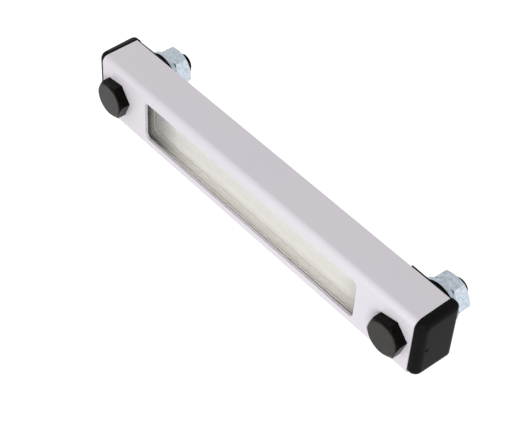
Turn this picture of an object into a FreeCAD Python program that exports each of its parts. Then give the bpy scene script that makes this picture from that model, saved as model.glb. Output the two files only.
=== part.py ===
import FreeCAD, Part
import math
import os

# Oil level gauge for the wall of a tank. A folded steel cover with a window holds a clear sight tube
# in front of a white backing channel. A moulded end piece closes each end, and a hollow bolt through
# it both clamps the gauge to the wall and lets the oil in.
# Millimetres. Z is up along the gauge, Y points from the viewer into the wall, X goes across.
# The origin is on the lower bolt's axis, level with the outer face of its nut.

# Bolts and nuts, thread size 10
bolt_spacing = 176.0
bolt_radius = 5.0
thread_relief = 0.2
head_flats = 16.0
head_height = 5.1
stud_free_length = 3.6
stud_chamfer = 0.8
waist_radius = 4.0
waist_length = 5.4
oil_bore_radius = 2.0
cross_bore_radius = 1.5
nut_flats = 17.0
nut_height = 8.0
face_circle_inset = 0.6
chamfer_angle = 30.0
washer_radius = 10.2
washer_thickness = 2.0
lower_head_turn = 7.0
upper_head_turn = 13.0
lower_nut_turn = -8.0
upper_nut_turn = -0.5

# Folded cover, a little wider at its open back than at its front
cover_end = 10.5
front_width = 31.2
back_width = 31.7
body_depth = 19.3
sheet = 1.5
bend_radius = 3.0
window_length = 135.2
window_width = 20.7
window_corner = 2.5

# Clear sight tube
tube_front_wall = 2.5
tube_cavity_depth = 4.4
tube_back_wall = 2.5
tube_side_wall = 1.4
tube_end_wall = 2.5
tube_edge_radius = 1.0
tube_cavity_corner = 3.0
spigot_radius = 2.8
spigot_length = 5.0
spigot_bore_radius = 1.6

# White backing channel
channel_base = 1.2
channel_side = 0.8
channel_lip = 2.0
channel_tongue = 3.0
channel_tongue_width = 16.0

# Moulded end pieces
block_reach = 15.4
block_corner = 2.0
plate_thickness = 0.8
plate_reach = 10.7
cap_thickness = 4.5
cap_front_inset = 0.5
cap_overhang = 2.2
cap_front_rounding = 3.8
cap_rear_rounding = 0.8
gate_radius = 0.9
gate_depth = 0.25
gate_from_front = 4.8

# Rubber seals
wall_seal_radius = 10.3
wall_seal_proud = 5.4
wall_seal_seat = 1.0
head_seal_width = 1.8
tube_seal_width = 1.2

# Clearances
fit_gap = 0.1
seal_gap = 0.15
bore_gap = 0.25
thread_gap = 0.15
channel_gap = 0.55

# How far a cutting body runs past what it cuts, and how close two places count as one
cut_past = 1.0
near = 0.01

# Sizes and depths that follow, the depths along Y from the nut's outer face
thread_radius = bolt_radius - thread_relief
washer_y = -nut_height - washer_thickness
plate_y = washer_y - wall_seal_proud
back_y = plate_y - plate_thickness
front_y = back_y - body_depth
tube_front_y = front_y + sheet + fit_gap
tube_depth = tube_front_wall + tube_cavity_depth + tube_back_wall
tube_back_y = tube_front_y + tube_depth
oil_y = tube_front_y + tube_front_wall + tube_cavity_depth / 2
tube_low = block_reach + fit_gap
tube_high = bolt_spacing - tube_low
wall_slope = (back_width - front_width) / 2 / body_depth
mid_z = bolt_spacing / 2

V = FreeCAD.Vector


def half_width(y, inset=0.0):
    """Half the cover's width at depth y, measured to a surface inset from the outside of its flared wall."""
    return front_width / 2 + (y - front_y) * wall_slope - inset * math.hypot(1, wall_slope)


# The tube and its channel fill the cover's inside at the depth of the channel's lips
tube_width = 2 * (half_width(tube_front_y + channel_lip, sheet) - channel_gap - channel_side - fit_gap)


def prism(outline, z0, z1):
    """A closed outline of (x, y) points carried from z0 to z1."""
    points = [V(x, y, z0) for x, y in outline]
    wire = Part.makePolygon(points + points[:1])
    return Part.Face(wire).extrude(V(0, 0, z1 - z0))


def trapezium(y0, y1, inset):
    """The cover's section between two depths, inset from its outside."""
    w0 = half_width(y0, inset)
    w1 = half_width(y1, inset)
    return [(-w0, y0), (w0, y0), (w1, y1), (-w1, y1)]


def slab(width, y0, y1, z0, z1):
    """A box centred across the gauge."""
    return Part.makeBox(width, y1 - y0, z1 - z0, V(-width / 2, y0, z0))


def rod(radius, y0, y1, z=0.0):
    """A cylinder into the wall, at height z."""
    return Part.makeCylinder(radius, y1 - y0, V(0, y0, z), V(0, 1, 0))


def post(radius, z0, z1, y):
    """A cylinder along the gauge, at depth y."""
    return Part.makeCylinder(radius, z1 - z0, V(0, y, z0), V(0, 0, 1))


def along(shape, axis):
    """The straight edges of a shape that run along an axis."""
    straight = [e for e in shape.Edges if isinstance(e.Curve, Part.Line)]
    return [e for e in straight if e.Curve.Direction.cross(axis).Length < near]


def upright_edges_at(shape, y):
    """The edges along Z that lie at depth y."""
    return [e for e in along(shape, V(0, 0, 1)) if abs(e.Vertexes[0].Y - y) < near]


def to_upper_end(shape):
    """The same piece at the other end, as its mirror image."""
    return shape.mirror(V(0, 0, mid_z), V(0, 0, 1))


def hexagon(flats, y0, y1, z, turn, chamfered):
    """A hexagonal prism into the wall, the corners of its chamfered faces cut by a cone."""
    corner = flats / math.sqrt(3)
    points = []
    for k in range(7):
        angle = math.radians(turn + 60 * k)
        points.append(V(-corner * math.sin(angle), y0, z + corner * math.cos(angle)))
    body = Part.Face(Part.makePolygon(points)).extrude(V(0, y1 - y0, 0))
    circle = flats / 2 - face_circle_inset
    reach = corner + face_circle_inset
    rise = (reach - circle) * math.tan(math.radians(chamfer_angle))
    outline = [V(0, y0, z)]
    outline += [V(circle, y0, z), V(reach, y0 + rise, z)] if "front" in chamfered else [V(reach, y0, z)]
    outline += [V(reach, y1 - rise, z), V(circle, y1, z)] if "back" in chamfered else [V(reach, y1, z)]
    outline += [V(0, y1, z), V(0, y0, z)]
    turned = Part.Face(Part.makePolygon(outline)).revolve(V(0, 0, z), V(0, 1, 0), 360)
    return body.common(turned)


def housing():
    """The cover: one folded sheet with the window and two bolt holes in its front."""
    z0 = -cover_end
    z1 = bolt_spacing + cover_end
    shell = prism(trapezium(front_y, back_y, 0), z0, z1)
    shell = shell.makeFillet(bend_radius, upright_edges_at(shell, front_y))
    inner_y = front_y + sheet
    inside = prism(trapezium(inner_y, back_y + cut_past, sheet), z0 - cut_past, z1 + cut_past)
    inside = inside.makeFillet(bend_radius - sheet, upright_edges_at(inside, inner_y))
    shell = shell.cut(inside)
    y0 = front_y - cut_past
    y1 = inner_y + cut_past
    window = slab(window_width, y0, y1, mid_z - window_length / 2, mid_z + window_length / 2)
    shell = shell.cut(window.makeFillet(window_corner, along(window, V(0, 1, 0))))
    for z in (0, bolt_spacing):
        shell = shell.cut(rod(bolt_radius + bore_gap, y0, y1, z))
    return shell


def sight_tube():
    """A clear moulding: a flat tube with a round spigot at each end."""
    body = slab(tube_width, tube_front_y, tube_back_y, tube_low, tube_high)
    body = body.makeFillet(tube_edge_radius, along(body, V(0, 0, 1)))
    z0 = tube_low - spigot_length
    z1 = tube_high + spigot_length
    lower_spigot = post(spigot_radius, z0, tube_low + cut_past, oil_y)
    upper_spigot = post(spigot_radius, tube_high - cut_past, z1, oil_y)
    body = body.fuse([lower_spigot, upper_spigot])
    cavity_front = tube_front_y + tube_front_wall
    cavity = slab(tube_width - 2 * tube_side_wall, cavity_front, cavity_front + tube_cavity_depth,
                  tube_low + tube_end_wall, tube_high - tube_end_wall)
    cavity = cavity.makeFillet(tube_cavity_corner, along(cavity, V(0, 1, 0)))
    passage = post(spigot_bore_radius, z0 - cut_past, z1 + cut_past, oil_y)
    return body.cut(cavity.fuse(passage)).removeSplitter()


def channel_outline(gap):
    """Depths of the channel's base, with a gap on both sides."""
    return tube_back_y + fit_gap - gap, tube_back_y + fit_gap + channel_base + gap


def backing_channel():
    """A white channel round the back of the tube, with a tongue into each end piece."""
    base_y, back = channel_outline(0)
    width = tube_width + 2 * (fit_gap + channel_side)
    body = slab(width, tube_front_y + channel_lip, back, tube_low, tube_high)
    trough = slab(tube_width + 2 * fit_gap, tube_front_y, base_y, tube_low - cut_past, tube_high + cut_past)
    body = body.cut(trough)
    tongue = slab(channel_tongue_width, base_y, back, tube_low - channel_tongue, tube_high + channel_tongue)
    return body.fuse(tongue).removeSplitter()


def cap():
    """The closing end of the lower end piece: its front is well rounded both ways, its rear corners less."""
    z0 = -cover_end - cap_thickness
    y0 = front_y + cap_front_inset
    y1 = back_y + cap_overhang
    body = prism(trapezium(y0, y1, 0), z0, -cover_end)
    body = body.makeFillet(cap_front_rounding, upright_edges_at(body, y0))
    body = body.makeFillet(cap_rear_rounding, upright_edges_at(body, y1))
    profile = slab(2 * back_width, y0, y1, z0, -cover_end)
    nose = [e for e in along(profile, V(1, 0, 0)) if e.Vertexes[0].Y < y0 + near and e.Vertexes[0].Z < z0 + near]
    body = body.common(profile.makeFillet(cap_front_rounding, nose))
    return body.cut(post(gate_radius, z0 - cut_past, z0 + gate_depth, front_y + gate_from_front))


def tube_socket():
    """What the tube's spigot, its seal and the oil passage take out of the lower end piece."""
    past = block_reach + cut_past
    hollow = post(spigot_radius + fit_gap, block_reach - spigot_length, past, oil_y)
    seat_z = block_reach - tube_seal_width - fit_gap
    seat = post(spigot_radius + tube_seal_width + fit_gap, seat_z, past, oil_y)
    return hollow.fuse([seat, post(spigot_bore_radius, 0, past, oil_y)])


def end_piece():
    """The lower end piece: block inside the cover, plate behind it and cap, moulded as one."""
    y0 = front_y + sheet + fit_gap
    start_z = -cover_end - cut_past
    past = block_reach + cut_past
    block = prism(trapezium(y0, plate_y, sheet + fit_gap), start_z, block_reach)
    block = block.makeFillet(block_corner, upright_edges_at(block, y0))
    plate = prism(trapezium(back_y, plate_y, 0), start_z, plate_reach)
    block = block.cut(slab(2 * back_width, back_y, plate_y + cut_past, plate_reach, past))
    body = block.fuse([plate, cap()]).removeSplitter()
    body = body.cut(rod(bolt_radius + bore_gap, front_y, 0))
    body = body.cut(rod(head_seal_radius() + fit_gap, front_y, y0 + head_seal_width + fit_gap))
    body = body.cut(rod(wall_seal_radius + fit_gap, plate_y - wall_seal_seat, 0))
    base_y, back = channel_outline(fit_gap)
    tongue_z = tube_low - channel_tongue - fit_gap
    tongue = slab(channel_tongue_width + 2 * fit_gap, base_y, back, tongue_z, past)
    return body.cut(tongue).cut(tube_socket())


def hollow_bolt(z, turn):
    """A hexagon bolt with a waist, a cross bore and an oil bore that opens at the stud's end."""
    end = stud_free_length
    bolt = hexagon(head_flats, front_y - head_height, front_y, z, turn, ("front",))
    shank = rod(bolt_radius, front_y - cut_past, back_y, z)
    thread = rod(thread_radius, back_y - cut_past, cut_past, z)
    tip = rod(bolt_radius, 0, end, z)
    rim = [e for e in tip.Edges if all(abs(v.Y - end) < near for v in e.Vertexes)]
    tip = tip.makeChamfer(stud_chamfer, rim)
    bolt = bolt.fuse([shank, thread, tip])
    reach = bolt_radius + cut_past
    waist = rod(reach, oil_y - waist_length / 2, oil_y + waist_length / 2, z)
    bolt = bolt.cut(waist.cut(rod(waist_radius, front_y, back_y, z)))
    bolt = bolt.cut(rod(oil_bore_radius, oil_y - cross_bore_radius, end + cut_past, z))
    bolt = bolt.cut(post(cross_bore_radius, z - reach, z + reach, oil_y))
    return bolt.removeSplitter()


def head_seal_radius():
    """The outside of the ring below the bolt's head."""
    return bolt_radius + seal_gap + head_seal_width


def head_seal(z):
    """The ring of square section in the end piece that seals the bolt below its head."""
    y0 = front_y + sheet + fit_gap
    ring = rod(head_seal_radius(), y0, y0 + head_seal_width, z)
    return ring.cut(rod(bolt_radius + seal_gap, front_y, 0, z))


def tube_seal():
    """The ring of square section round the lower spigot, at the mouth of its socket."""
    inner = spigot_radius + fit_gap / 2
    z0 = block_reach - tube_seal_width
    ring = post(inner + tube_seal_width, z0, block_reach, oil_y)
    return ring.cut(post(inner, z0 - cut_past, block_reach + cut_past, oil_y))


def wall_seal(z):
    """The thick rubber ring between the gauge and the tank's wall."""
    ring = rod(wall_seal_radius, plate_y - wall_seal_seat, washer_y, z)
    return ring.cut(rod(bolt_radius + seal_gap, front_y, 0, z))


def washer(z):
    """The flat washer under the nut."""
    return rod(washer_radius, washer_y, -nut_height, z).cut(rod(bolt_radius + bore_gap, front_y, 0, z))


def nut(z, turn):
    """The hexagon nut, chamfered on both faces."""
    body = hexagon(nut_flats, -nut_height, 0, z, turn, ("front", "back"))
    return body.cut(rod(bolt_radius + thread_gap, front_y, cut_past, z))


def pieces():
    """Every piece of the gauge by name."""
    made = {
        "housing": housing(),
        "sight_tube": sight_tube(),
        "backing_channel": backing_channel(),
        "lower_end_piece": end_piece(),
        "lower_tube_seal": tube_seal(),
        "upper_end_piece": to_upper_end(end_piece()),
        "upper_tube_seal": to_upper_end(tube_seal()),
    }
    ends = (("lower", 0, lower_head_turn, lower_nut_turn),
            ("upper", bolt_spacing, upper_head_turn, upper_nut_turn))
    for end, z, head_turn, nut_turn in ends:
        made[end + "_hollow_bolt"] = hollow_bolt(z, head_turn)
        made[end + "_head_seal"] = head_seal(z)
        made[end + "_wall_seal"] = wall_seal(z)
        made[end + "_washer"] = washer(z)
        made[end + "_nut"] = nut(z, nut_turn)
    return made


os.makedirs("parts", exist_ok=True)
for name, shape in pieces().items():
    shape.exportStep("parts/" + name + ".step")
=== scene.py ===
import math

import bmesh
import bpy
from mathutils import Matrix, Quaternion, Vector


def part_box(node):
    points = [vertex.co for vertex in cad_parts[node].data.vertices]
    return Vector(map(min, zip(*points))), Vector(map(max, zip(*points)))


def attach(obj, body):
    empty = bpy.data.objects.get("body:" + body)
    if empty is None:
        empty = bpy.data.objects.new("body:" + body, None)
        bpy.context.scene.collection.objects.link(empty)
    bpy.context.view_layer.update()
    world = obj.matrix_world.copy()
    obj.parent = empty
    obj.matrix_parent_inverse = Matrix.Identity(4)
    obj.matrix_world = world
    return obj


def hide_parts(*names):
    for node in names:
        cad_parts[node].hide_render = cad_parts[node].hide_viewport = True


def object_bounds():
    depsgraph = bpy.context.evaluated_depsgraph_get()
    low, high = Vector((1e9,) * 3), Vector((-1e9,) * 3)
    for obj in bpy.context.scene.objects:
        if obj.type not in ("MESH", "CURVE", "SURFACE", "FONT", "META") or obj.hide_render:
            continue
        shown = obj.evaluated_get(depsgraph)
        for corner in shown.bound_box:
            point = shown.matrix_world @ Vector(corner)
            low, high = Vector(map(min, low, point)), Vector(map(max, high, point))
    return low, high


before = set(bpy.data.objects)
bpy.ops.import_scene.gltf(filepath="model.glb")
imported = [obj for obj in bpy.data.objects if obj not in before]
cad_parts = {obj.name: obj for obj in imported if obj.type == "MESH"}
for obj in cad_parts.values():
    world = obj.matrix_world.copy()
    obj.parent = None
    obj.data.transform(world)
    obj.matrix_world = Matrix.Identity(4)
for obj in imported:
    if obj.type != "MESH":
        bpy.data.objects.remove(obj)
cad_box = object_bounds()
MM = 0.001
scene = bpy.context.scene
scene.view_settings.view_transform = "Standard"

# The camera looks from the gauge's upper left front, and is rolled so that the gauge lies across the
# picture with its lower end at the left, as in the photograph.
camera_place = Vector((-0.4246, -0.3190, 0.4017))
camera_aim = Vector((0.0039, -0.0315, 0.0956))
camera_roll = math.radians(130.876)
camera_lens = 98.4
camera_sensor = 36

camera = bpy.data.objects.new("camera", bpy.data.cameras.new("camera"))
scene.collection.objects.link(camera)
camera.data.lens = camera_lens
camera.data.sensor_width = camera_sensor
camera.location = camera_place
camera.rotation_mode = "QUATERNION"
facing = (camera_aim - camera_place).to_track_quat("-Z", "Y")
camera.rotation_quaternion = facing @ Quaternion((0, 0, 1), camera_roll)
scene.camera = camera

# The floor is a plain pale sheet some way below the gauge's lower end. To the camera it is white, with
# the gauge's soft shadow left in it. It is the first piece that needs nodes, so the two classes that
# make them stand here: arithmetic on an output adds Math nodes, and any other comes from Net.node.
floor_drop = 60 * MM
floor_reach = 6.0
floor_colour = (0.86, 0.86, 0.86)
floor_roughness = 0.9
floor_lift = 0.49
white = (1, 1, 1, 1)


class Signal:
    """An output of a node."""

    def __init__(self, net, socket):
        self.net = net
        self.socket = socket

    def of(self, output):
        """Another output of the same node."""
        return Signal(self.net, self.socket.node.outputs[output])

    def __add__(self, other):
        return self.net.math("ADD", self, other)

    def __radd__(self, other):
        return self.net.math("ADD", other, self)

    def __sub__(self, other):
        return self.net.math("SUBTRACT", self, other)

    def __rsub__(self, other):
        return self.net.math("SUBTRACT", other, self)

    def __mul__(self, other):
        return self.net.math("MULTIPLY", self, other)

    def __rmul__(self, other):
        return self.net.math("MULTIPLY", other, self)

    def __abs__(self):
        return self.net.math("ABSOLUTE", self)


class Net:
    """A node tree under construction, of a finish or of a form that follows a rule."""

    def __init__(self, tree):
        self.tree = tree

    def put(self, socket, value):
        """Links a signal to a socket, or sets the socket's own value."""
        if isinstance(value, Signal):
            self.tree.links.new(value.socket, socket)
        else:
            socket.default_value = value

    def node(self, kind, settings=None, values=None, output=0):
        """A node of the given kind, with its settings made first and then its sockets."""
        made = self.tree.nodes.new(kind)
        for name, value in (settings or {}).items():
            setattr(made, name, value)
        for name, value in (values or {}).items():
            self.put(made.inputs[name], value)
        return Signal(self, made.outputs[output])

    def math(self, operation, *values, clamp=False):
        """A Math node on signals or numbers."""
        settings = {"operation": operation, "use_clamp": clamp}
        return self.node("ShaderNodeMath", settings, dict(enumerate(values)))

    def larger(self, first, second):
        return self.math("MAXIMUM", first, second)

    def smaller(self, first, second):
        return self.math("MINIMUM", first, second)

    def rise(self, value, start, reach):
        """0 up to the start, then an even rise that ends at 1 after the reach."""
        return self.math("DIVIDE", value - start, reach, clamp=True)

    def parts(self, place):
        """The X, Y and Z of a place."""
        x = self.node("ShaderNodeSeparateXYZ", None, {0: place})
        return x, x.of("Y"), x.of("Z")

    def blended(self, factor, low, high):
        """A colour between two others, given as three numbers each or as signals.

        The Mix node's colours are its sockets 6 and 7, and its output 2 is the mixed one.
        """
        low, high = [tone if isinstance(tone, Signal) else (*tone, 1) for tone in (low, high)]
        return self.node("ShaderNodeMix", {"data_type": "RGBA"}, {0: factor, 6: low, 7: high}, output=2)

    def either(self, factor, first, second):
        """A shader mixed from two others."""
        return self.node("ShaderNodeMixShader", None, {0: factor, 1: first, 2: second})

    def in_view(self):
        """1 for what the camera sees, also in a mirror or through glass, and 0 for lighting."""
        path = self.node("ShaderNodeLightPath", output="Is Camera Ray")
        return self.larger(self.larger(path, path.of("Is Glossy Ray")), path.of("Is Transmission Ray"))


floor_z = cad_box[0].z - floor_drop
corners = [(x * floor_reach, y * floor_reach, floor_z) for x, y in ((-1, -1), (1, -1), (1, 1), (-1, 1))]
floor_mesh = bpy.data.meshes.new("floor")
floor_mesh.from_pydata(corners, [], [(0, 1, 2, 3)])
floor = bpy.data.objects.new("floor", floor_mesh)
scene.collection.objects.link(floor)
floor_paint = bpy.data.materials.new("pale_floor")
floor_paint.use_nodes = True
net = Net(floor_paint.node_tree)
shader = net.tree.nodes["Principled BSDF"].inputs
shader["Base Color"].default_value = (*floor_colour, 1)
shader["Roughness"].default_value = floor_roughness
shader["Specular IOR Level"].default_value = 0.0
shader["Emission Color"].default_value = white
net.put(shader["Emission Strength"], net.in_view() * floor_lift)
floor_mesh.materials.append(floor_paint)

# The studio is an even white surround with two square soft boxes: a large one in front of the gauge,
# above it and to its left, and a fainter one behind it and high above.
surround_level = 0.52

world = bpy.data.worlds.new("studio")
scene.world = world
world.use_nodes = True
net = Net(world.node_tree)
backdrop = net.tree.nodes["Background"].inputs
backdrop["Color"].default_value = white
net.put(backdrop["Strength"], surround_level + net.in_view() * (1 - surround_level))


def soft_box(name, place, size, power):
    """A square area light that faces the middle of the gauge."""
    lamp = bpy.data.lights.new(name, "AREA")
    lamp.size = size
    lamp.energy = power
    box = bpy.data.objects.new(name, lamp)
    scene.collection.objects.link(box)
    box.location = place
    middle = (cad_box[0] + cad_box[1]) / 2
    box.rotation_mode = "QUATERNION"
    box.rotation_quaternion = (middle - Vector(place)).to_track_quat("-Z", "Y")


soft_box("front_box", place=(-0.25, -0.8, 0.7), size=0.6, power=5.4)
soft_box("back_box", place=(-0.1, 0.9, 1.6), size=0.8, power=1.6)

# The cover is one steel sheet 1.5 mm thick, folded to a channel that opens to the wall, with a window and
# two bolt holes cut in its front. It is powder coated after folding, in a white with a trace of lilac,
# and the coat rounds every cut edge. Its finish has a faint orange peel and one small grey speck.
coat_colour = (0.78, 0.733, 0.80)
coat_warm = (0.80, 0.757, 0.80)
coat_edge = 0.3 * MM
cloud_size = 60 * MM
peel_size = 0.9 * MM
fine_peel_size = 0.25 * MM
fine_peel_share = 0.2
peel_depth = 0.012 * MM
speck_place = (-15.8 * MM, -21.0 * MM, 49.9 * MM)
speck_radius = 0.35 * MM
speck_colour = (0.25, 0.24, 0.25)
speck_share = 0.8
merge_reach = 0.001 * MM
flat_angle = math.radians(0.4)
sharp_angle = math.radians(28)


def copied(node):
    """A solid's mesh, with its triangles joined."""
    form = bmesh.new()
    form.from_mesh(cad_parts[node].data)
    bmesh.ops.remove_doubles(form, verts=form.verts, dist=merge_reach)
    return form


def flattened(form):
    """Makes the triangles of each flat face one face again."""
    bmesh.ops.dissolve_limit(form, angle_limit=flat_angle, verts=form.verts, edges=form.edges)
    return form


def softened(form, width, segments=3, clamp=True):
    """Rounds the sharp edges by a small width, as coating, plating or moulding does."""
    edges = [e for e in form.edges if len(e.link_faces) == 2 and e.calc_face_angle() > sharp_angle]
    bmesh.ops.bevel(form, geom=edges, offset=width, segments=segments, profile=0.5, affect="EDGES",
                    clamp_overlap=clamp)
    return form


def finished(form, name, finish, body, node, crease=40):
    """Turns a form into a piece with its finish, which rides on a body and stands for its solid."""
    mesh = bpy.data.meshes.new(name)
    form.to_mesh(mesh)
    form.free()
    for face in mesh.polygons:
        face.use_smooth = True
    mesh.set_sharp_from_angle(angle=math.radians(crease))
    mesh.materials.append(finish)
    piece = bpy.data.objects.new(name, mesh)
    scene.collection.objects.link(piece)
    weigh = piece.modifiers.new("weigh", "WEIGHTED_NORMAL")
    weigh.keep_sharp = True
    weigh.weight = 100
    held = piece.evaluated_get(bpy.context.evaluated_depsgraph_get())
    piece.data = bpy.data.meshes.new_from_object(held)
    piece.modifiers.clear()
    bpy.data.meshes.remove(mesh)
    piece.data.name = name
    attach(piece, body)
    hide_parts(node)


def new_finish(name, metallic=0.0):
    """A material with the net for its pattern, its shader's sockets and the place on the piece."""
    finish = bpy.data.materials.new(name)
    finish.use_nodes = True
    net = Net(finish.node_tree)
    shader = net.tree.nodes["Principled BSDF"].inputs
    shader["Metallic"].default_value = metallic
    place = net.node("ShaderNodeTexCoord", output="Object")
    return finish, net, shader, place


def grain(net, place, size, detail=2.0, roughness=0.5):
    """Noise from 0 to 1 whose lumps are about the given size across."""
    values = {"Vector": place, "Scale": 1 / size, "Detail": detail, "Roughness": roughness}
    return net.node("ShaderNodeTexNoise", {"noise_dimensions": "3D"}, values)


def uneven(net, shader, place, size, low, high):
    """Lets the roughness wander between two values."""
    net.put(shader["Roughness"], low + grain(net, place, size) * (high - low))


def relief(net, shader, height, depth):
    """Raises a surface by a signal times a depth."""
    net.put(shader["Normal"], net.node("ShaderNodeBump", None, {"Height": height, "Distance": depth}))


coat, net, shader, place = new_finish("lilac_white_powder_coat")
to_speck = {0: place, 1: speck_place}
away = net.node("ShaderNodeVectorMath", {"operation": "DISTANCE"}, to_speck, output="Value")
speck = 1 - net.rise(away, 0, speck_radius)
tone = net.blended(grain(net, place, cloud_size, detail=1.0), coat_colour, coat_warm)
net.put(shader["Base Color"], net.blended(speck * speck_share, tone, speck_colour))
uneven(net, shader, place, size=4 * MM, low=0.34, high=0.44)
fine_peel = grain(net, place, fine_peel_size, detail=1.0) * fine_peel_share
relief(net, shader, grain(net, place, peel_size, detail=1.0) + fine_peel, peel_depth)

form = softened(flattened(copied("housing")), coat_edge)
finished(form, "cover", coat, "gauge", "housing")

# Each end piece is one black moulding: a bolt block inside the cover, a plate behind it and a rounded
# cap that closes the cover's end. Its skin has the fine satin of a spark-eroded mould. The cap's radius
# runs from a larger one in front to a smaller one behind.
black_colour = (0.0055, 0.0052, 0.0056)
black_pale = (0.0085, 0.008, 0.0085)
black_gloss = 0.03
black_mottle_size = 9 * MM
satin_size = 0.22 * MM
satin_depth = 0.006 * MM
cap_front_radius = 3.9 * MM
cap_rear_radius = 2.6 * MM
cap_cuts = [step * MM for step in (0.15, 0.5, 1.0, 1.6, 2.3, 3.1, 3.9)]
cap_tolerance = 0.01 * MM
fine_crease = 35


def cut_cap(form, in_cap, low, high, tip, outward):
    """Cuts the cap along planes near its edges, so that there are vertices to round."""
    for step in cap_cuts:
        for spot, way in (((low.x + step, 0, 0), (1, 0, 0)), ((high.x - step, 0, 0), (1, 0, 0)),
                          ((0, high.y - step, 0), (0, 1, 0)), ((0, low.y + step, 0), (0, 1, 0)),
                          ((0, 0, tip - outward * step), (0, 0, 1))):
            faces = [f for f in form.faces if in_cap(f.calc_center_median())]
            parts = set(faces) | {e for f in faces for e in f.edges} | {v for f in faces for v in f.verts}
            bmesh.ops.bisect_plane(form, geom=list(parts), dist=cap_tolerance, plane_co=spot, plane_no=way)


def rounded_cap(form, end, cover_end):
    """Draws the cap's edges in to a radius that runs from the front one to the rear one."""
    low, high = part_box(end + "_end_piece")
    outward = 1 if end == "upper" else -1
    tip = high.z if end == "upper" else low.z

    def in_cap(spot):
        return (spot.z - cover_end) * outward > -cap_tolerance

    cut_cap(form, in_cap, low, high, tip, outward)
    for vert in form.verts:
        if not in_cap(vert.co):
            continue
        back = min(max((vert.co.y - low.y) / (high.y - low.y), 0.0), 1.0)
        radius = cap_front_radius + (cap_rear_radius - cap_front_radius) * back
        limit = tip - outward * radius
        inner = Vector((min(max(vert.co.x, low.x + radius), high.x - radius),
                        min(max(vert.co.y, low.y + radius), high.y - radius),
                        min(vert.co.z, limit) if outward > 0 else max(vert.co.z, limit)))
        out = vert.co - inner
        if out.length > radius:
            vert.co = inner + out.normalized() * radius
    return form


moulded, net, shader, place = new_finish("black_satin_moulding")
shader["Specular IOR Level"].default_value = black_gloss
mottle = grain(net, place, black_mottle_size)
net.put(shader["Base Color"], net.blended(mottle, black_colour, black_pale))
uneven(net, shader, place, size=1.5 * MM, low=0.30, high=0.40)
relief(net, shader, grain(net, place, satin_size, detail=1.0), satin_depth)

cover_low, cover_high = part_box("housing")
for end, cover_end in (("lower", cover_low.z), ("upper", cover_high.z)):
    form = rounded_cap(flattened(copied(end + "_end_piece")), end, cover_end)
    finished(form, end + "_moulding", moulded, "gauge", end + "_end_piece",
             crease=fine_crease)

# The backing channel is a warm white moulding behind the sight tube, with lips round the tube's sides.
# It is the pale ground against which the oil is read, and carries painted shade that darkens it towards the
# lower end.
cream_colour = (0.985, 0.96, 0.935)
cream_deep = (0.975, 0.95, 0.915)
cream_shade = (0.12, 0.11, 0.09)
cream_edge = 0.2 * MM
cream_mottle_size = 25 * MM
shade_start = 16 * MM
shade_reach = 18 * MM
ripple_size = 1.2 * MM
ripple_depth = 0.008 * MM

cream, net, shader, place = new_finish("warm_white_moulding")
x, y, z = net.parts(place)
even = net.blended(grain(net, place, cream_mottle_size), cream_colour, cream_deep)
# Painted shade: the channel's colour darkens towards its lower end.
net.put(shader["Base Color"], net.blended(net.rise(z, shade_start, shade_reach), cream_shade, even))
uneven(net, shader, place, size=3 * MM, low=0.26, high=0.36)
relief(net, shader, grain(net, place, ripple_size, detail=1.0), ripple_depth)

form = softened(flattened(copied("backing_channel")), cream_edge)
finished(form, "white_channel", cream, "gauge", "backing_channel")

# The sight tube is a clear moulding, polished in its mould, with a flat cavity for the oil. Its lower end is
# coloured dark olive and matt as painted shade, a painted highlight runs round the cavity's rear edge, and
# its sides carry painted shade that deepens towards the lower end. Lamps reach the channel behind it.
clear_colour = (0.997, 0.996, 0.992)
clear_warm = (0.985, 0.98, 0.965)
clear_ior = 1.49
clear_gloss = 0.05
clear_edge = 0.25 * MM
clear_mottle_size = 30 * MM
lamp_tint = (0.995, 0.995, 0.99)
end_shade_olive = (0.16, 0.14, 0.07)
side_faint_shade = (0.93, 0.91, 0.87)
side_deep_shade = (0.42, 0.39, 0.30)
side_shade_fade = 40 * MM
end_shade_colour = (0.045, 0.040, 0.022)
end_shade_share = 0.9
end_shade_start = 0.5 * MM
end_shade_fade = 7 * MM
end_fade = 0.2 * MM
face_tolerance = 0.1 * MM
side_end_shade_share = 0.8
rim_highlight_colour = (0.62, 0.58, 0.28)
rim_highlight_share = 0.9
rim_highlight_width = 0.45 * MM
rim_highlight_fade = 90 * MM
wall_width = 0.3 * MM
tube_wall = 2.5 * MM
tube_side = 1.4 * MM
spigot_length = 5 * MM
cavity_corner = 3 * MM

tube_low, tube_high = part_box("sight_tube")
tube_middle = (tube_low.z + tube_high.z) / 2
tube_end = tube_low.z + spigot_length
cavity_low = tube_end + tube_wall
cavity_back = tube_high.y - tube_wall
cavity_half_width = tube_high.x - tube_side
cavity_half_length = tube_middle - cavity_low

clear, net, shader, place = new_finish("clear_moulding")
shader["Transmission Weight"].default_value = 1.0
shader["Roughness"].default_value = 0.0
shader["IOR"].default_value = clear_ior
shader["Specular IOR Level"].default_value = clear_gloss
x, y, z = net.parts(place)

over_x = abs(x) - (cavity_half_width - cavity_corner)
over_z = abs(z - tube_middle) - (cavity_half_length - cavity_corner)
past_x = net.larger(over_x, 0.0)
past_z = net.larger(over_z, 0.0)
inside = net.smaller(net.larger(over_x, over_z), 0.0)
from_wall = net.math("SQRT", past_x * past_x + past_z * past_z) + inside - cavity_corner
on_wall = 1 - net.rise(abs(from_wall), 0, wall_width)
on_rear_rim = 1 - net.rise(abs(y - cavity_back), 0, rim_highlight_width)

# Painted shade: the glass below the cavity is coloured dark olive.
end_wall = 1 - net.rise(z, cavity_low + wall_width / 2, wall_width)
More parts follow.
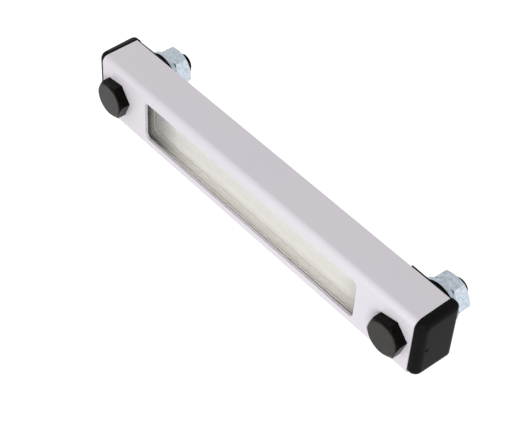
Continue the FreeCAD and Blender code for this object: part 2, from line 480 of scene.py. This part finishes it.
# Painted shade: the tube's sides are coloured a little darker, and much darker towards the lower end.
side = net.math("GREATER_THAN", abs(x), cavity_half_width - face_tolerance)
shaded = 1 - net.rise(z, cavity_low, side_shade_fade)
shaded = shaded * shaded
tint_and_side_shade = net.blended(grain(net, place, clear_mottle_size), clear_colour, clear_warm)
tint_and_side_shade = net.blended(side, tint_and_side_shade, net.blended(shaded, side_faint_shade, side_deep_shade))
net.put(shader["Base Color"], net.blended(end_wall, tint_and_side_shade, end_shade_olive))

# Painted shade: a matt dark olive on the tube's end face, on its sides towards the lower end and on the
# cavity's walls near that end.
end_face = 1 - net.rise(z, tube_end + face_tolerance, end_fade)
side_face = net.math("GREATER_THAN", abs(x), tube_high.x - wall_width)
near_end = 1 - net.rise(z, cavity_low + end_shade_start, end_shade_fade)
end_shaded = net.larger(end_face, side_face * shaded * side_end_shade_share)
end_shaded = net.larger(end_shaded, on_wall * near_end) * end_shade_share
# Painted highlight: a pale line along the cavity's rear rim, fading towards the upper end.
rim_highlighted = on_wall * on_rear_rim * rim_highlight_share * (1 - net.rise(z, cavity_low, rim_highlight_fade))
solid = Signal(net, net.tree.nodes["Principled BSDF"].outputs[0])
end_shade = net.node("ShaderNodeBsdfDiffuse", None, {"Color": (*end_shade_colour, 1)})
rim_highlight = net.node("ShaderNodeBsdfDiffuse", None, {"Color": (*rim_highlight_colour, 1)})
solid = net.either(rim_highlighted, net.either(end_shaded, solid, end_shade), rim_highlight)
path = net.node("ShaderNodeLightPath", output="Is Shadow Ray")
for_lamps = net.larger(path, path.of("Is Diffuse Ray"))
passing = net.node("ShaderNodeBsdfTransparent", None, {"Color": (*lamp_tint, 1)})
net.put(net.tree.nodes["Material Output"].inputs["Surface"], net.either(for_lamps, solid, passing))

form = softened(flattened(copied("sight_tube")), clear_edge)
finished(form, "clear_tube", clear, "gauge", "sight_tube")

# The hollow bolts are blackened steel, size 10 with a pitch of 1.5 mm. The head's face is turned, and its
# thread is wound as a ridge on a core, cut back by the chamfer at the stud's end. The turned face is
# coloured lighter and the flanks darker, as painted light and shade.
shaded_flank_colour = (0.010, 0.009, 0.008)
shaded_flank_deep = (0.002, 0.0018, 0.0015)
lit_face_colour = (0.017, 0.016, 0.015)
lit_face_pale = (0.060, 0.0575, 0.055)
face_depth = 0.35 * MM
face_fade = 0.25 * MM
ring_size = 0.35 * MM
ring_height = 2.0
blotch_size = 2.5 * MM
steel_grain_size = 0.15 * MM
steel_grain_depth = 0.004 * MM
steel_edge = 0.12 * MM
bolt_spacing = 176 * MM
pitch = 1.5 * MM
core_radius = 4.1 * MM
crest_radius = 4.97 * MM
relief_radius = 4.9 * MM
core_start = -16.2 * MM
core_tolerance = 0.05 * MM
thread_start = -15.5 * MM
thread_end_gap = 0.4 * MM
stud_chamfer = 0.8 * MM
chamfer_clearance = 0.1 * MM
ridge_root_width = 1.3 * MM
ridge_crest_width = 0.3 * MM
ridge_taper = 2.5
ridge_sides = 4
ridge_closure = 0.002 * MM
steps_a_turn = 40
head_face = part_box("lower_hollow_bolt")[0].y
stud_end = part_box("lower_hollow_bolt")[1].y


def thread_tree():
    """A ridge wound round the Y axis: a closed strip of four sides that thins to nothing at both ends.

    Going round the strip, its corners 1 and 2 lie at the crest, and 2 and 3 on the far side.
    """
    tree = bpy.data.node_groups.new("wound_thread", "GeometryNodeTree")
    tree.is_modifier = True
    tree.interface.new_socket("Geometry", in_out="INPUT", socket_type="NodeSocketGeometry")
    for title in ("Start", "Turns", "Root", "Crest", "Root width", "Crest width", "Cut from", "Height"):
        tree.interface.new_socket(title, in_out="INPUT", socket_type="NodeSocketFloat")
    tree.interface.new_socket("Steps", in_out="INPUT", socket_type="NodeSocketInt")
    tree.interface.new_socket("Finish", in_out="INPUT", socket_type="NodeSocketMaterial")
    tree.interface.new_socket("Geometry", in_out="OUTPUT", socket_type="NodeSocketGeometry")
    net = Net(tree)
    given = net.node("NodeGroupInput")
    turns = given.of("Turns")
    root = given.of("Root")
    crest = given.of("Crest")
    root_width = given.of("Root width")
    size = {"Size X": 1.0, "Size Y": 1.0, "Vertices X": given.of("Steps"), "Vertices Y": ridge_sides + 1}
    strip = net.node("GeometryNodeMeshGrid", None, size)
    x, y, z = net.parts(net.node("GeometryNodeInputPosition"))
    run = x + 0.5
    corner = (y + 0.5) * ridge_sides
    at_crest = net.math("LESS_THAN", abs(corner - 1.5), 1.0)
    far_side = net.math("LESS_THAN", abs(corner - 2.5), 1.0)
    full = net.smaller(net.smaller(run, 1 - run) * turns * ridge_taper, 1.0)
    half = (root_width + (given.of("Crest width") - root_width) * at_crest) * 0.5
    along = given.of("Start") + run * turns * pitch + (far_side * 2 - 1) * half * full
    radius = root + (crest - root) * at_crest * full
    limit = crest - net.larger(along - given.of("Cut from"), 0.0)
    radius = net.smaller(radius, net.larger(limit, root))
    angle = run * turns * math.tau
    point = {"X": radius * net.math("SINE", angle), "Y": along,
             "Z": given.of("Height") + radius * net.math("COSINE", angle)}
    wound = net.node("GeometryNodeSetPosition", None,
                     {"Geometry": strip, "Position": net.node("ShaderNodeCombineXYZ", None, point)})
    closed = net.node("GeometryNodeMergeByDistance", None, {"Geometry": wound, "Distance": ridge_closure})
    real = net.node("GeometryNodeRealizeInstances", None, {"Geometry": closed})
    done = net.node("GeometryNodeSetMaterial", None, {"Geometry": real, "Material": given.of("Finish")})
    out = net.tree.nodes.new("NodeGroupOutput")
    net.put(out.inputs["Geometry"], done)
    return tree


winder = thread_tree()


def add_thread(form, finish, **sizes):
    """Winds a thread of the given sizes, named as in the tree, and adds it to a form."""
    blank = bpy.data.objects.new("thread", bpy.data.meshes.new("thread"))
    scene.collection.objects.link(blank)
    wind = blank.modifiers.new("wind", "NODES")
    wind.node_group = winder
    sizes = {"Finish": finish, "Steps": int(sizes["Turns"] * steps_a_turn) + 1, **sizes}
    for socket in winder.interface.items_tree:
        if socket.in_out == "INPUT" and socket.name.replace(" ", "_") in sizes:
            wind[socket.identifier] = sizes[socket.name.replace(" ", "_")]
    mesh = bpy.data.meshes.new_from_object(blank.evaluated_get(bpy.context.evaluated_depsgraph_get()))
    bpy.data.objects.remove(blank)
    ridge = bmesh.new()
    ridge.from_mesh(mesh)
    bmesh.ops.recalc_face_normals(ridge, faces=ridge.faces)
    ridge.to_mesh(mesh)
    ridge.free()
    form.from_mesh(mesh)
    bpy.data.meshes.remove(mesh)
    return form


def cored(form, height):
    """Draws the threaded length of a bolt in to the thread's core."""
    for vert in form.verts:
        out = Vector((vert.co.x, 0, vert.co.z - height))
        past = vert.co.y - core_start
        on_thread = past > core_tolerance or (past > -core_tolerance and out.length < relief_radius)
        if on_thread and out.length > core_radius:
            out = out.normalized() * core_radius
            vert.co = (out.x, vert.co.y, height + out.z)
    bmesh.ops.remove_doubles(form, verts=form.verts, dist=merge_reach)
    return form


blackened, net, shader, place = new_finish("blackened_steel", metallic=1.0)
x, y, z = net.parts(place)
height = z - net.math("GREATER_THAN", z, bolt_spacing / 2) * bolt_spacing
out = net.math("SQRT", x * x + height * height)
# Painted light and shade: the turned face is coloured lighter than the flanks, which are coloured darker.
turned_lit_face = 1 - net.rise(y, head_face + face_depth - face_fade, face_fade)
rings = grain(net, net.node("ShaderNodeCombineXYZ", None, {"X": out}), ring_size)
blotch = grain(net, place, blotch_size, detail=3.0)
face = net.blended(rings * 0.5 + blotch * 0.5, lit_face_colour, lit_face_pale)
net.put(shader["Base Color"], net.blended(turned_lit_face, net.blended(blotch, shaded_flank_deep, shaded_flank_colour), face))
uneven(net, shader, place, size=0.8 * MM, low=0.30, high=0.46)
steel_grain = grain(net, place, steel_grain_size, detail=1.0)
relief(net, shader, steel_grain + rings * turned_lit_face * ring_height, steel_grain_depth)

ends = (("lower", 0.0), ("upper", bolt_spacing))
for end, height in ends:
    node = end + "_hollow_bolt"
    form = softened(flattened(cored(copied(node), height)), steel_edge, segments=2, clamp=False)
    turns = (stud_end - thread_end_gap - thread_start) / pitch
    form = add_thread(form, blackened, Start=thread_start, Turns=turns, Root=core_radius - core_tolerance,
                      Crest=crest_radius, Root_width=ridge_root_width, Crest_width=ridge_crest_width,
                      Cut_from=stud_end - stud_chamfer - chamfer_clearance, Height=height)
    finished(form, end + "_bolt", blackened, end + "_bolt_body", node, crease=fine_crease)

# The washers are stamped and the nuts forged, both zinc plated with a bluish passivation that clouds a
# little. They clamp the gauge to the wall, and each nut has a thread in step with its bolt's.
zinc_colour = (0.55, 0.61, 0.66)
zinc_deep = (0.27, 0.31, 0.36)
zinc_mottle_size = 1.6 * MM
zinc_contrast = 1.8
zinc_offset = -0.4
zinc_grain_size = 0.5 * MM
zinc_grain_depth = 0.014 * MM
washer_edge = 0.2 * MM
nut_edge = 0.15 * MM
nut_thread_turns = 4.6
nut_thread_lead = 5.5
nut_thread_start = thread_start + nut_thread_lead * pitch
nut_thread_root = 5.2 * MM
nut_thread_crest = 4.45 * MM
nut_root_width = 1.0 * MM
never_cut = 1.0

zinc, net, shader, place = new_finish("bluish_zinc", metallic=1.0)
cloud = grain(net, place, zinc_mottle_size, detail=4.0, roughness=0.65)
mottle = net.math("MULTIPLY_ADD", cloud, zinc_contrast, zinc_offset, clamp=True)
net.put(shader["Base Color"], net.blended(mottle, zinc_deep, zinc_colour))
uneven(net, shader, place, size=1.0 * MM, low=0.20, high=0.40)
relief(net, shader, grain(net, place, zinc_grain_size), zinc_grain_depth)

for end, height in ends:
    form = softened(flattened(copied(end + "_washer")), washer_edge)
    finished(form, end + "_flat_washer", zinc, end + "_washer_body", end + "_washer")
    form = softened(flattened(copied(end + "_nut")), nut_edge, segments=2)
    form = add_thread(form, zinc, Start=nut_thread_start, Turns=nut_thread_turns, Root=nut_thread_root,
                      Crest=nut_thread_crest, Root_width=nut_root_width, Crest_width=ridge_crest_width,
                      Cut_from=never_cut, Height=height)
    finished(form, end + "_hexagon_nut", zinc, end + "_nut_body", end + "_nut",
             crease=fine_crease)

# The seals are matt black rubber: a thick moulded ring against the wall at each bolt, and small rings
# inside, round each bolt under the cover and round each of the tube's spigots.
rubber_colour = (0.004, 0.004, 0.0045)
rubber_pale = (0.005, 0.005, 0.0055)
rubber_gloss = 0.03
rubber_edge = 0.6 * MM
rubber_mottle_size = 3 * MM
rubber_grain_size = 0.4 * MM
rubber_grain_depth = 0.015 * MM

rubber, net, shader, place = new_finish("matt_black_rubber")
shader["Specular IOR Level"].default_value = rubber_gloss
net.put(shader["Base Color"], net.blended(grain(net, place, rubber_mottle_size), rubber_colour, rubber_pale))
uneven(net, shader, place, size=2 * MM, low=0.80, high=0.95)
relief(net, shader, grain(net, place, rubber_grain_size), rubber_grain_depth)

for end in ("lower", "upper"):
    form = softened(flattened(copied(end + "_wall_seal")), rubber_edge)
    finished(form, end + "_thick_seal", rubber, "gauge", end + "_wall_seal")
    for small in ("_head_seal", "_tube_seal"):
        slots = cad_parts[end + small].data.materials
        slots.clear()
        slots.append(rubber)
